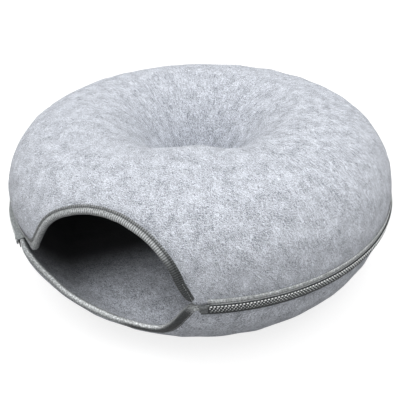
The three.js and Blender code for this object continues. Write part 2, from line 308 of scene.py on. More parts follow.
def mix_in(tree, *terms):
    """Sum of amount times (value - 0.5) over the terms, on top of 0.5."""
    total = 0.5
    for value, amount in terms:
        total = reckon(tree, "ADD", total, reckon(tree, "MULTIPLY_ADD", value, amount, -0.5 * amount))
    return total


def new_group(name, inputs, outputs):
    """Empty shader group with its inputs, given as name, socket type and value, and its outputs."""
    tree = bpy.data.node_groups.new(name, "ShaderNodeTree")
    for key, kind, value in inputs:
        socket = tree.interface.new_socket(key, in_out="INPUT", socket_type=kind)
        if value is not None:
            socket.default_value = value
    for key in outputs:
        tree.interface.new_socket(key, in_out="OUTPUT", socket_type="NodeSocketFloat")
    return tree, tree.nodes.new("NodeGroupInput").outputs, tree.nodes.new("NodeGroupOutput").inputs


def noise(tree, at, scale, detail=2.0, roughness=0.5):
    """Soft random pattern, as a value and a colour, with a number of features to a unit of its place: a
    millimetre of a flat sheet or tape, or a metre of the object."""
    inputs = {"Vector": at, "Scale": scale, "Detail": detail, "Roughness": roughness}
    return node(tree, "ShaderNodeTexNoise", inputs).outputs


# Matted fibres: three layers of short thin strands lying at different angles, streaks where the felt was
# pulled over the form, wide soft patches, a few dark flecks and a fine grain.
BENDS, STREAKS, PATCHES, GRAINS, FLECKS = 0.13, 0.55, 0.07, 1.1, 0.5  # features a millimetre
BEND_REACH, STRAND_TURNS, STRAND_SHAPE = 9.0, (12, 67, 128), (0.2, 1.1, 1)
FLECK_START, FLECK_FULL, FLECK_DEPTH = 0.38, 0.26, -0.5
matted, given, gives = new_group(
    "matted_fibres",
    [("At", "NodeSocketVector", None), ("Pulled At", "NodeSocketVector", None),
     ("Pull", "NodeSocketFloat", 1.0)],
    ["Shade", "Height"],
)
warped = noise(matted, given["At"], BENDS, 1.0)["Color"]
bends = (("ADD", {1: (-0.5,) * 3}), ("SCALE", {"Scale": BEND_REACH}), ("ADD", {1: given["At"]}))
for operation, inputs in bends:
    warped = node(matted, "ShaderNodeVectorMath", {0: warped, **inputs}, operation=operation).outputs[0]
strand = 0.0
for turn in STRAND_TURNS:
    inputs = {"Vector": warped, "Rotation": (0, 0, np.radians(turn)), "Scale": STRAND_SHAPE}
    laid = node(matted, "ShaderNodeMapping", inputs).outputs[0]
    layer = noise(matted, laid, 1.0, 2.0, 0.6)["Fac"]
    strand = reckon(matted, "MULTIPLY_ADD", layer, 1 / len(STRAND_TURNS), strand)
streak = noise(matted, given["Pulled At"], STREAKS, 3.0, 0.62)["Fac"]
streaks = reckon(matted, "MULTIPLY", reckon(matted, "ADD", streak, -0.5), given["Pull"])
patch = noise(matted, given["At"], PATCHES, 3.0)["Fac"]
grain = noise(matted, given["At"], GRAINS, 2.0, 0.6)["Fac"]
fleck = noise(matted, warped, FLECKS, 3.0, 0.6)["Fac"]
inputs = {"Value": fleck, "From Min": FLECK_START, "From Max": FLECK_FULL, "To Max": 1.0}
flecks = reckon(matted, "MULTIPLY", node(matted, "ShaderNodeMapRange", inputs).outputs[0], FLECK_DEPTH)
shade = mix_in(matted, (patch, 0.55), (grain, 1.9), (strand, 2.2))
for part in (streaks, flecks):
    shade = reckon(matted, "ADD", shade, part)
matted.links.new(shade, gives["Shade"])
matted.links.new(mix_in(matted, (grain, 0.8), (strand, 1.4), (streak, 0.8)), gives["Height"])


def new_material(name, rough, constants):
    """Material with its shader; numbers that are the same all over go straight on the shader's sockets."""
    made = bpy.data.materials.new(name)
    made.use_nodes = True
    shader = made.node_tree.nodes["Principled BSDF"]
    for key, value in {"Roughness": rough, **constants}.items():
        shader.inputs[key].default_value = value
    return made, made.node_tree, shader.inputs


def dye(tree, value, stops):
    """Colour by a value, between stops given as position and linear colour."""
    ramp = node(tree, "ShaderNodeValToRGB", {"Fac": value})
    while len(ramp.color_ramp.elements) < len(stops):
        ramp.color_ramp.elements.new(0.5)
    for element, (position, colour) in zip(ramp.color_ramp.elements, stops):
        element.position, element.color = position, (*colour, 1)
    return ramp.outputs["Color"]


def own_values(tree, name):
    """The mesh's own values of a name: three numbers at each point."""
    return node(tree, "ShaderNodeAttribute", attribute_name=name).outputs["Vector"]


def raise_surface(tree, sockets, height, distance):
    """Bumps the surface by a height of 0 to 1 that stands for a distance in millimetres."""
    bump = node(tree, "ShaderNodeBump", {"Height": height, "Distance": distance * MM})
    tree.links.new(bump.outputs[0], sockets["Normal"])


def felt_material(name, pull, stops, unlit):
    """Felt: dark, middle and light fibres mixed by the matted pattern, rough and with a soft fuzzy sheen. A
    piece's own shade values give how far it goes over to the unlit colour inside the bed, which is painted
    shade, and how strong its streaks are, as a share of the material's own pull."""
    constants = {"Sheen Weight": 0.12, "Sheen Roughness": 0.6, "Specular IOR Level": 0.15}
    made, tree, sockets = new_material(name, 0.95, constants)
    fibres = node(tree, "ShaderNodeGroup", {}, node_tree=matted)
    for key, own in (("At", "felt_at"), ("Pulled At", "felt_pulled")):
        tree.links.new(own_values(tree, own), fibres.inputs[key])
    own = node(tree, "ShaderNodeSeparateXYZ", {0: own_values(tree, "felt_painted_shade_and_streaks")}).outputs
    tree.links.new(reckon(tree, "MULTIPLY", own["Y"], pull), fibres.inputs["Pull"])
    # Painted shade: the fibres' colour goes over to the unlit colour by the mesh's own shade value
    dyed = node(tree, "ShaderNodeMix", {"Factor": own["X"], 7: (*unlit, 1)}, data_type="RGBA")
    tree.links.new(dye(tree, fibres.outputs["Shade"], stops), dyed.inputs[6])
    tree.links.new(dyed.outputs[2], sockets["Base Color"])
    raise_surface(tree, sockets, fibres.outputs["Height"], 0.4)
    return made


# The last colour is the unlit colour of the painted shade inside the bed
felt = felt_material("grey_melange_felt", 1.15, [
    (0.1, (0.15, 0.16, 0.185)), (0.5, (0.50, 0.525, 0.58)), (0.9, (0.83, 0.86, 0.92)),
], (0.008, 0.009, 0.012))


def tucked(angle):
    """1 at the right corner of the arch, where the binding runs under the felt, and 0 elsewhere."""
    a = wrap(angle)
    return smooth(25.4, 27.4, a) * (1 - smooth(29, 31.5, a))


# Streaks run outwards in a flat sheet whose radius is drawn together towards the pull radius; they fade over
# the upper shell's wall and in front. Inside, shade is painted on the felt: it darkens from the lit corner,
# front right, backwards, and the upper shell's inner face is painted almost wholly in the unlit colour.
PULL_RADIUS, PULL_TOGETHER = 200, 5
WALL_FADE, FRONT_FADE, LOWER_STREAKS = (190, 290, 0.75), (30, 150, 0.7), 0.3
LIT_WAY, UPPER_LIGHT, LOWER_LIGHT = np.array([0.75, -0.73, 0]), (-5, 90, 0.12), (-5, 90, 1)
INSIDE_SHIFT = np.array([0, 0, 60])


def fade(value, start, end, share):
    """1, less a share that grows in between a start and an end."""
    return 1 - share * smooth(start, end, value)


def painted_shade_and_streaks(points, radius, is_upper, inside):
    """Painted shade inside the bed: how far the felt goes over to its unlit colour, and how strong its
    streaks are, at each point.
    """
    dark = inside * fade(points @ LIT_WAY, *(UPPER_LIGHT if is_upper else LOWER_LIGHT))
    streaks = fade(radius, *WALL_FADE) if is_upper else LOWER_STREAKS
    return stacked(dark, streaks * fade(-points[..., 1], *FRONT_FADE), 0.0)


def shell_grid(shell, edge, end, rows, flat_radius, shift=(0, 0, 0)):
    """Outer and inner faces of a shell in one run of rows: from its middle along the outer face to the edge,
    round the edge and back along the inner face. The felt is squeezed under the binding, and reaches the cut
    edge where it lies bare. Each point also has its place in the flat sheet, which the felt's pattern
    follows, the same with its radius drawn together, and its values of painted shade and streak strength."""
    bare = tucked(edge[0]) if shell is upper else 0 * edge[0]
    squeeze = EDGE_SQUEEZE * (1 - bare)
    near = [  # distance from the edge, and how far each face is pressed in there
        (1.5 - 1.3 * bare, squeeze + 0.3 * bare), (4 - 3 * bare, squeeze), (7 - 2 * bare, squeeze),
        (10, squeeze), (12, 0.3 * squeeze), (14, 0),
    ]
    places = [(*from_edge(shell, edge, distance), squeeze, 0) for distance, squeeze in near]
    angle, s = places[-1][:2]
    for t in np.arange(1, rows + 1) / rows:
        places.append((angle, s + (end - s) * t, 0, smooth(0, 0.08, t) * (1 - smooth(0.96, 1, t))))
    faces = ([], [])
    for angle, s, squeeze, uneven in places:
        radius = flat_radius(s)
        flat = place(angle, radius, 0 * s) + shift
        pulled = place(angle, PULL_RADIUS + (radius - PULL_RADIUS) / PULL_TOGETHER, 0 * s) + shift
        rise = uneven * undulation(flat)
        for inside, depth in enumerate((squeeze - rise, FELT_THICKNESS - squeeze - rise)):
            points = below(shell, angle, s, depth)
            values = painted_shade_and_streaks(points, radius, shell is upper, inside)
            apart = INSIDE_SHIFT * inside
            faces[inside].append(np.stack([points, flat + apart, pulled + apart, values]))
    values = np.stack(faces[0][::-1] + faces[1], axis=2)
    return values[0], dict(felt_at=values[1], felt_pulled=values[2], felt_painted_shade_and_streaks=values[3])


def upper_flat_radius(s):
    """Radius in the flat sheet: one for one outside the crown, and stretched along the dimple inside it."""
    r = np.interp(s, upper_profile[0], upper_profile[1][:, 0])
    even = CROWN_RADIUS * (upper_end - s) / (upper_end - crown_length)
    return np.where(s < crown_length, CROWN_RADIUS + crown_length - s, 0.6 * r + 0.4 * even)


FELT_COLUMNS = (2.9, 4.4)  # millimetres between the mesh's columns, in the opening and round the zip
UPPER_ROWS, LOWER_ROWS, LOWER_PATTERN_SHIFT = 92, 76, (310, 170, 25)
upper_edge = edge_of(upper, upper_edge_at, columns_of(upper, upper_edge_at, *FELT_COLUMNS), EDGE_EVENING)
grid, felt_values = shell_grid(upper, upper_edge, upper_end - 2, UPPER_ROWS, upper_flat_radius)
hub = place(np.zeros(2), 0, np.array([HUB_TOP, HUB_TOP - FELT_THICKNESS]))
upper_shell = skin("upper_felt_shell", grid, felt, poles=hub, **felt_values)
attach(upper_shell, "root")
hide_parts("upper_shell")

# ----------------------------------------------------------
# Lower shell. The bottom of the bed is a second sheet of the same felt, pressed into a shallow round tray
# with a flat base. It is cut down to a low lip in front, and its edge lies a little inside the upper one.
LOWER_EDGE_HEIGHT, LOWER_INSET = 98.7, 2.9
BASE_RADIUS, LOWER_ROUNDNESS = 189, 1.53
LIP = [
    [-27.7, 98.7], [-25, 98.6], [-22.5, 97.6], [-20, 95], [-17, 89.5], [-13.5, 80], [-10, 71.5], [-6.5, 67],
    [-2, 63.5], [3, 59.5], [8, 54.5], [12, 50.5], [15, 49], [17.2, 50.5], [19, 55.5], [20.8, 64], [22.4, 74],
    [23.8, 84], [25, 91.5], [26.2, 96.3], [27.2, 98.3], [28, 98.7],
]
BAND_SHIFT = [[-85, 0], [-48, -2], [-31, -2], [-27, 0.6], [-22, 3.6], [-17, 2.4], [-11, 0]]
lip_height, band_shift = curve(LIP), curve(BAND_SHIFT)
lower_profile = measured(
    [[OUTER_RADIUS, LOWER_EDGE_HEIGHT + 3]],
    rounded_arc((OUTER_RADIUS, WIDEST_HEIGHT), (BASE_RADIUS, 0), LOWER_ROUNDNESS),
)
lower_profile = measured(lower_profile[1], [[0, 0]])


def lower_at(angle, s):
    """Outer face of the lower shell: its profile carried round, with its upper edge set inwards, and shifted
    in and out beside the left corner."""
    r, z = (np.interp(s, lower_profile[0], lower_profile[1][:, k]) for k in (0, 1))
    return place(angle, r + (band_shift(wrap(angle)) - LOWER_INSET) * smooth(52, 86, z), z)


def lower_edge_at(angle):
    """Distance along the profile at which the lower shell is cut."""
    return length_at(lower_profile, lip_height(wrap(angle)))


def lower_flat_radius(s):
    """Radius in the flat sheet, which is the length of the profile from its middle."""
    return lower_profile[0][-1] - s


lower = (lower_at, -1)
lower_edge = edge_of(lower, lower_edge_at, columns_of(lower, lower_edge_at, *FELT_COLUMNS), EDGE_EVENING)
lower_end = lower_profile[0][-1]
grid, felt_values = shell_grid(
    lower, lower_edge, lower_end - 2, LOWER_ROWS, lower_flat_radius, LOWER_PATTERN_SHIFT)
grid[..., 2] = np.maximum(grid[..., 2], 0)
middle = np.array([[0, 0, 0], [0, 0, FELT_THICKNESS]])
lower_shell = skin("lower_felt_shell", grid, felt, poles=middle, **felt_values)
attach(lower_shell, "root")
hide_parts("lower_shell")

# ----------------------------------------------------------
# Bindings. Each cut edge is closed with a ribbed polyester tape that is folded over it, with one leg
# outside and one inside, and sewn through. On the arch the fold is full and rounded, with its ribs
# showing; along the zip and on the lip the tape is sewn down flat and smooth.
RIB_PITCH, RIB_COLUMNS, TAPE_EVENING = 2.2, 4, 300
ARCH_SECTION = [
    (9, -0.6), (8.6, -0.8), (7.6, -0.85), (6.8, -0.7), (6.2, -0.3), (5.5, -0.85), (4.4, -1.4), (3, -1.7),
    (1.6, -1.45), (0.5, -0.6), (-0.2, 0.7), (-0.4, 2), (-0.2, 3.3), (0.5, 4.5), (1.6, 5.35), (3, 5.6),
    (4.4, 5.35), (5.5, 4.85), (6.2, 4.35), (6.8, 4.7), (7.6, 4.85), (8.6, 4.8), (9, 4.6),
]
ZIP_SECTION = [
    (6.8, -0.6), (6.5, -0.95), (4.6, -1), (2.9, -0.9), (2.2, -0.45), (1.8, -0.8), (1.4, -0.88), (1, -0.85),
    (0.6, -0.7), (0.25, -0.35), (0, 0.4), (-0.05, 2), (0, 3.6), (0.5, 4.6), (1.6, 4.95), (3, 5),
    (4.4, 4.95), (5.5, 4.85), (6.2, 4.65), (6.8, 4.85), (7.6, 4.95), (8.6, 4.9), (9, 4.7),
]
LIP_SECTION = [
    (9, -0.6), (8.7, -0.85), (8.4, -0.8), (8.1, -0.65), (7.8, -0.45), (7.4, -0.75), (5.6, -0.95), (3.4, -1),
    (1.4, -0.95), (0.4, -0.6), (-0.1, 0.4), (-0.25, 2), (-0.1, 3.6), (0.5, 4.7), (1.4, 5.05), (2.2, 5.1),
    (3, 5.05), (3.5, 4.9), (3.9, 4.5), (4.3, 4.75), (4.8, 4.85), (5.2, 4.8), (5.4, 4.6),
]
TUCKED_SECTION = [
    (6.8, 1), (6.5, 0.9), (4.6, 0.9), (2.9, 0.9), (2.6, 0.95), (2.4, 0.95), (2.2, 0.95), (2, 1), (1.8, 1.1),
    (1.7, 1.3), (1.6, 1.7), (1.55, 2.4), (1.55, 3.4), (1.6, 4.4), (2, 4.9), (3, 5),
    (4.4, 4.95), (5.5, 4.85), (6.2, 4.65), (6.8, 4.85), (7.6, 4.95), (8.6, 4.9), (9, 4.7),
]
SECTION_CORE = [(5.4, 4.02), (1.5, 3.95), (1, 3), (1, 1), (1.5, 0.05), (6.8, -0.02)]
CORE_DEPTH, CORE_TONE = 1.2, 0.3
# How pale the tape is at each point of the section, partly its own tone and partly painted light on the fold
# and painted shade in the stitch groove and on legs turned from the light, and how high its ribs are
ARCH_TONE = [0.3, 0.34, 0.34, 0.28, 0.08, 0.4, 0.62, 0.72, 0.74, 0.68, 0.5, 0.4, 0.3] + [0.25] * 10
ZIP_TONE = [0.9, 1, 1, 0.95, 0.05, 0.9, 1, 1, 1, 0.95, 0.85, 0.7, 0.5] + [0.2] * 10
LIP_TONE = [
    0.25, 0.2, 0.15, 0.1, 0.05, 0.03, 0.02, 0.02, 0.02, 0.04, 0.2, 1, 1, 0.6, 0.2, 0.12, 0.12, 0.12, 0.05,
    0.3, 0.3, 0.3, 0.2,
]
ARCH_RIBS, LIP_RIBS, FLAT_RIBS = 0.17, 0.04, 0.02
FOOT_DROP = 4.5


def in_opening(angle):
    """1 in the opening and 0 along the zip, with a smooth change inside both corners."""
    a = wrap(angle)
    left = smooth(LEFT_CORNER + 0.5, LEFT_CORNER + 6, a)
    return left * (1 - smooth(RIGHT_CORNER - 3.5, RIGHT_CORNER - 0.5, a))


def tape_grid(shell, edge_at, open_section, open_tone, open_ribs, tone_of, shape_of):
    """Folded tape along an edge: a closed section given as distance into the sheet and depth under its outer
    face, between its open and zip forms, with ribs across it that rise along the section's own normal."""
    angles = columns_of(shell, edge_at, RIB_PITCH / RIB_COLUMNS, RIB_PITCH / RIB_COLUMNS)
    edge = edge_of(shell, edge_at, angles, TAPE_EVENING)
    turn, opened = wrap(angles)[:, None], in_opening(angles)[:, None]
    share = opened[..., None]
    section = shape_of(turn[..., None], np.array(ZIP_SECTION) * (1 - share) + np.array(open_section) * share)
    way = unit(np.gradient(section, axis=1))
    swing = np.cos(2 * np.pi * np.arange(len(angles)) / RIB_COLUMNS)[:, None]
    ribs = (FLAT_RIBS + (open_ribs - FLAT_RIBS) * opened) * swing
    section = section + ribs[..., None] * np.stack([way[..., 1], -way[..., 0]], -1)
    core = shape_of(turn[..., None], np.tile(SECTION_CORE, (len(angles), 1, 1)), CORE_DEPTH)
    section = np.concatenate([section, core], axis=1)
    grid = np.stack([below(shell, *from_edge(shell, edge, distance), depth)
                     for distance, depth in section.transpose(1, 2, 0)], axis=1)
    run, across = run_along(shell[0](angles, edge[1])), run_along(open_section)
    across = np.append(across, np.full(len(SECTION_CORE), across[-1]))
    # Paleness across the section: partly the tape's own tone, partly painted light and shade
    tone = np.array(ZIP_TONE) * (1 - opened) + np.array(open_tone) * opened
    tone, rib_show = tone_of(turn, np.arange(len(ZIP_TONE)), tone)
    tone = np.concatenate([tone, np.full((len(angles), len(SECTION_CORE)), CORE_TONE)], axis=1)
    values = dict(tape_at=stacked(run[:, None], across, 0.0), tape_tone=stacked(tone, opened * rib_show, 0.0))
    return grid, values, edge


def arch_tone(angle, row, tone):
    """Painted shade: the tape is darker down the right leg of the arch, where it turns under away from the
    light, and its ribs show most above that."""
    leg = smooth(18.5, 22.5, angle) * (1 - smooth(27.9, 28.1, angle))
    ribs = 1 + 1.3 * smooth(4, 13, angle) * (1 - smooth(22, 26, angle))
    return tone * (1 - leg * np.where(row <= 4, 0.85, 0.93)), ribs


def arch_shape(angle, section, core_depth=None):
    """The roll hangs down a little in a foot at the left corner, and is tucked under the felt at the right
    one, with the core kept at a depth."""
    if core_depth:
        return section + tucked(angle) * (np.maximum(section, [2, core_depth]) - section)
    foot = smooth(-26, -22, angle) * (1 - smooth(-18.5, -14.5, angle))
    section = section - foot * [FOOT_DROP, 0] * (section[..., :1] < 2.5)
    return section + tucked(angle) * (np.array(TUCKED_SECTION) - section)


def lip_tone(angle, row, tone):
    """Painted light and shade on the lip's tape: its outer leg is dark, as painted shade, from the middle of
    the opening to the right corner only, and painted pale left of that; the painted highlight on its fold is
    dimmed on the left and beside the right corner."""
    left = (1 - smooth(6, 12, angle)) * (np.abs(angle) < 29)
    tone = np.where(row <= 11, np.maximum(tone, left * np.where(row == 4, 0.15, 0.66)), tone)
    right = smooth(17, 21, angle) * (1 - smooth(27.9, 28.1, angle)) * (row >= 10) * (row <= 13)
    return tone * (1 - 0.7 * left * (row >= 12)) * (1 - 0.5 * right), 0.15


def lip_shape(angle, section, core_depth=None):
    """The lip's tape is narrower on the left, where less of it is turned out."""
    left = (1 - smooth(0, 10, angle)) * smooth(-27, -18, angle)
    return section * (1 - left * [0.42, 0] * (section[..., :1] > 0) * (section[..., 1:] < 2))


def ripple(tree, value, pitch):
    """Cosine wave from 0 to 1 with a pitch in millimetres."""
    swing = reckon(tree, "MULTIPLY", reckon(tree, "DIVIDE", value, pitch), 2 * np.pi)
    return reckon(tree, "MULTIPLY_ADD", reckon(tree, "COSINE", swing), 0.5, 0.5)


# Woven threads: threads in two directions, grooves between the ribs, uneven yarn and lint.
woven, given, gives = new_group(
    "woven_threads",
    [("At", "NodeSocketVector", None), ("Pitch", "NodeSocketFloat", RIB_PITCH),
     ("Thread", "NodeSocketFloat", 0.9), ("Ribs", "NodeSocketFloat", 1.0)],
    ["Shade", "Height"],
)
parts = node(woven, "ShaderNodeSeparateXYZ", {0: given["At"]}).outputs
rib = ripple(woven, parts["X"], given["Pitch"])
threads = reckon(woven, "MULTIPLY", *(ripple(woven, parts[way], given["Thread"]) for way in "XY"))
lint = noise(woven, given["At"], 0.5, 3.0, 0.7)["Fac"]
ribbed = reckon(woven, "MULTIPLY", reckon(woven, "SUBTRACT", rib, 0.5), given["Ribs"])
ribbed = reckon(woven, "ADD", ribbed, 0.5)
woven.links.new(mix_in(woven, (ribbed, 0.5), (threads, 0.3), (lint, 2.6)), gives["Shade"])
woven.links.new(mix_in(woven, (threads, 0.7), (lint, 0.5)), gives["Height"])


def tape_material(name, pale, deep, pitch=1.1, rough=0.6):
    """Woven tape between a pale and a deep tone, each given as its dark and light thread; the pale tone
    stands for lit tape and the deep one for tape in shade. A piece's own tape_tone gives how pale it is
    there, partly its own tone and partly painted light and shade, and how much its ribs show."""
    made, tree, sockets = new_material(name, rough, {"Sheen Weight": 0.15, "Sheen Roughness": 0.4})
    tone = node(tree, "ShaderNodeSeparateXYZ", {0: own_values(tree, "tape_tone")}).outputs
    weave = node(tree, "ShaderNodeGroup", {}, node_tree=woven)
    tree.links.new(own_values(tree, "tape_at"), weave.inputs["At"])
    tree.links.new(tone["Y"], weave.inputs["Ribs"])
    weave.inputs["Pitch"].default_value = pitch
    blended = node(tree, "ShaderNodeMix", {"Factor": tone["X"]}, data_type="RGBA")
    for socket, (dark, light) in ((6, deep), (7, pale)):
        dyed = dye(tree, weave.outputs["Shade"], [(0.15, dark), (0.85, light)])
        tree.links.new(dyed, blended.inputs[socket])
    tree.links.new(blended.outputs[2], sockets["Base Color"])
    raise_surface(tree, sockets, weave.outputs["Height"], 0.12)
    return made


# The binding's deep tone is near black: painted shade
binding_tape = tape_material(
    "binding_tape", ((0.25, 0.262, 0.266), (0.82, 0.85, 0.86)),
    ((0.010, 0.012, 0.013), (0.058, 0.064, 0.067)), RIB_PITCH)
grid, tape_values, upper_tape_edge = tape_grid(
    upper, upper_edge_at, ARCH_SECTION, ARCH_TONE, ARCH_RIBS, arch_tone, arch_shape)
upper_binding = skin("upper_edge_binding", grid, binding_tape, loop=True, **tape_values)
grid, tape_values, lower_tape_edge = tape_grid(
    lower, lower_edge_at, LIP_SECTION, LIP_TONE, LIP_RIBS, lip_tone, lip_shape)
lower_binding = skin("lower_edge_binding", grid, binding_tape, loop=True, **tape_values)
for piece, cad_node in ((upper_binding, "upper_binding"), (lower_binding, "lower_binding")):
    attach(piece, "root")
    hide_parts(cad_node)

# ----------------------------------------------------------
# Stitching. A row of lockstitch holds each binding, seen on the outer leg and again on the inner leg. Each
# stitch is a short pad of thread that sinks into the tape at both ends.
STITCH_PITCH, STITCH_LENGTH, STITCH_WIDTH = 3.2, 2.6, 0.5


def bead(length, width, height, rings=5, sides=6):
    """Rounded bead along X: rings sized by the square root of 1 - |x|^2.6, and a tip at each end."""
    x = np.linspace(-1, 1, rings + 2)[1:-1]
    size = np.sqrt(1 - np.abs(x) ** 2.6)
    turn = 2 * np.pi * np.arange(sides) / sides
    x, size = x[:, None] * length / 2, size[:, None]
    ring = stacked(x, size * np.cos(turn) * width / 2, size * np.sin(turn) * height / 2)
    points = np.concatenate([ring.reshape(-1, 3), [[-length / 2, 0, 0], [length / 2, 0, 0]]])
    i, k = np.arange(rings - 1)[:, None] * sides, np.arange(sides)
    after, last = (k + 1) % sides, (rings - 1) * sides
    quads = stacked(i + k, i + after, i + sides + after, i + sides + k)
    fans = np.concatenate([np.stack([after, k, np.full(sides, rings * sides)], -1),
                           np.stack([last + k, last + after, np.full(sides, rings * sides + 1)], -1)])
    return points, quads.reshape(-1, 4), fans


def repeated(name, template, centres, forward, outward, material):
    """One mesh of many copies of a small shape, whose X lies forward, Z outward and Y square to both."""
    points, quads, fans = template
    forward = unit(forward)
    sideways = unit(np.cross(outward, forward))
    outward = np.cross(forward, sideways)
    x, y, z = (points[None, :, k : k + 1] for k in range(3))
    placed = centres[:, None] + x * forward[:, None] + y * sideways[:, None] + z * outward[:, None]
    shift = (np.arange(len(centres)) * len(points))[:, None, None]
    faces = [(shift + part)[..., ::-1].reshape(-1, part.shape[1]).tolist() for part in (quads, fans)]
    return add_piece(name, placed.reshape(-1, 3), faces[0] + faces[1], material)


def thread_material(name, dark, light):
    """Twisted sewing thread: dyed between two tones by a fine twist."""
    made, tree, sockets = new_material(name, 0.5, {"Sheen Weight": 0.2})
    at = node(tree, "ShaderNodeTexCoord").outputs["Object"]
    twist = noise(tree, at, 1600.0, 2.0)["Fac"]
    tree.links.new(dye(tree, twist, [(0.3, dark), (0.7, light)]), sockets["Base Color"])
    raise_surface(tree, sockets, twist, 0.08)
    return made


def stitch_row(name, shell, edge, distance, depth, material, chosen=None):
    """Row of stitches at a distance from the edge and a depth under the outer face at each column, evenly
    spaced, and kept where the angle is chosen."""
    angle, s = from_edge(shell, edge, distance)
    points = below(shell, angle, s, depth)
    normal = frame_at(shell, angle, s)[1]
    run = run_along(np.concatenate([points, points[:1]]))
    count = int(run[-1] / STITCH_PITCH)
    at = (np.arange(count) + 0.5) * run[-1] / count
    if chosen:
        at = at[chosen(wrap(np.interp(at, run[:-1], edge[0])))]

    def pick(values):
        closed = np.concatenate([values, values[:1]])
        return np.stack([np.interp(at, run, closed[:, k]) for k in range(3)], -1)

    ways = np.roll(points, -2, axis=0) - np.roll(points, 2, axis=0)
    stitch = bead(STITCH_LENGTH, STITCH_WIDTH, STITCH_WIDTH)
    return repeated(name, stitch, pick(points), pick(ways), pick(normal), material)


def groove(edge, row, open_section):
    """Distance and depth of a row of the section along an edge, between its open and zip forms."""
    opened = in_opening(edge[0])
    closed_form, open_form = ZIP_SECTION[row], open_section[row]
    return [closed_form[k] * (1 - opened) + open_form[k] * opened for k in (0, 1)]


def near_tab(angle):
    """The lip's right end, where its stitches are pale."""
    return (angle > 19) & (angle < 28.5)


def low_on_leg(angle):
    """The foot of the arch's right leg, where its stitches are pale."""
    return (angle > 23.5) & (angle < 27)


dark_thread = thread_material("dark_grey_thread", (0.02, 0.022, 0.023), (0.075, 0.08, 0.083))
pale_thread = thread_material("pale_grey_thread", (0.32, 0.34, 0.34), (0.62, 0.64, 0.64))
OUTER_GROOVE, INNER_GROOVE, PROUD = 4, 18, 0.05
arch_row, lip_row = (upper, upper_tape_edge, ARCH_SECTION), (lower, lower_tape_edge, LIP_SECTION)
for name, (shell, edge, section), row, thread, chosen in (
    ("arch_outer_stitches", arch_row, OUTER_GROOVE, dark_thread, lambda angle: ~low_on_leg(angle)),
    ("arch_outer_pale_stitches", arch_row, OUTER_GROOVE, pale_thread, low_on_leg),
    ("arch_inner_stitches", arch_row, INNER_GROOVE, dark_thread, None),
    ("lip_outer_stitches", lip_row, OUTER_GROOVE, pale_thread, near_tab),
    ("lip_outer_dark_stitches", lip_row, OUTER_GROOVE, dark_thread, lambda angle: ~near_tab(angle)),
    ("lip_inner_stitches", lip_row, INNER_GROOVE, dark_thread, None),
):
    distance, depth = groove(edge, row, section)
    depth = depth + (PROUD if row == INNER_GROOVE else -PROUD)
    stitches = stitch_row(name, shell, edge, distance, depth, thread, chosen)
    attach(stitches, "root")

# ----------------------------------------------------------
# Zip tapes. The upper tape is sewn behind the upper binding, turns out under its fold and hangs down behind
# the chain; beside the left corner it shows as a ledge. The lower tape lies flat on the lower binding.
ZIP_START, ZIP_END, TAPE_FACE, TAPE_THICKNESS = 28.6, 333.2, -0.3, 1
CHAIN_HEIGHT, TAPE_COLUMNS = 96.4, 900
FLAP_OUT, FLAP_DROP = 3, 4.5


def strip_grid(angles, section):
    """Strip round the bed from a section of distances out from the felt's widest radius, and heights."""
    out, height = (stacked(angles, *column)[:, 1:] for column in zip(*section))
    return place(angles[:, None], OUTER_RADIUS + out, height + 0.0)


def strip_values(angles, grid, tone):
    """The strip's own places for the weave: along it and across it, and how pale it is at each point."""
    run = np.radians(angles - angles[0])[:, None] * OUTER_RADIUS
    steps = np.linalg.norm(np.diff(grid, axis=1, prepend=grid[:, :1]), axis=-1)
    across = np.cumsum(steps, axis=1)
    return dict(tape_at=stacked(run, across, 0.0), tape_tone=stacked(tone + 0 * across, 0.0, 0.0))


zip_angles = np.linspace(ZIP_START, ZIP_END, TAPE_COLUMNS)
turned, shift = wrap(zip_angles), band_shift(wrap(zip_angles))
flap = smooth(-52, -40, turned) * (1 - smooth(-28.5, -27, turned)) * (turned < 0)
face, rear = TAPE_FACE + shift, TAPE_FACE - TAPE_THICKNESS + shift
front, hem = face + FLAP_OUT * flap, CHAIN_HEIGHT + 0.3 - FLAP_DROP * flap
back, inner = -draw_in(zip_angles) - FELT_THICKNESS - 1.9, front - TAPE_THICKNESS
top, under = UPPER_EDGE_HEIGHT - 0.6, UPPER_EDGE_HEIGHT - 0.6 - TAPE_THICKNESS
upper_section = [
    (back - 1.4, top + 9.6), (back - 0.5, top + 4), (back, top + 0.7), (back + 0.7, top), (front - 0.8, top),
    (front - 0.15, top - 0.25), (front, top - 0.9), (front, hem), (inner, hem), (inner, under - 0.1),
    (rear - 0.3, under), (back - 0.3, under), (back - 0.9, under + 0.4), (back - 1.1, top + 0.7),
    (back - 1.6, top + 4), (back - 2.4, top + 9.6),
]
lower_section = [(out, CHAIN_HEIGHT - down) for out, down in (
    (face, 0.3), (face, 4), (face, 7.6), (face - 0.2, 8),
    (rear + 0.2, 8), (rear, 7.6), (rear, 4), (rear, 0.3),
)]
zip_tape = tape_material(
    "zip_tape_weave", ((0.16, 0.175, 0.18), (0.46, 0.485, 0.49)),
    ((0.02, 0.023, 0.025), (0.085, 0.093, 0.096)))
beside_left = draw_in(zip_angles)[:, None] / DRAW_IN
# The lower tape takes the deep tone as painted shade under the chain, and the upper tape is painted paler on
# the ledge beside the left corner, where light falls on it
for name, cad_node, section, tone in (
    ("upper_zip_tape_cloth", "upper_zip_tape", upper_section, 0.7 + 0.2 * beside_left),
    ("lower_zip_tape_cloth", "lower_zip_tape", lower_section, 0.0),
):
    grid = strip_grid(zip_angles, section)
    piece = skin(name, grid, zip_tape, ring=False, loop=True, **strip_values(zip_angles, grid, tone))
    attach(piece, "root")
    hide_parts(cad_node)

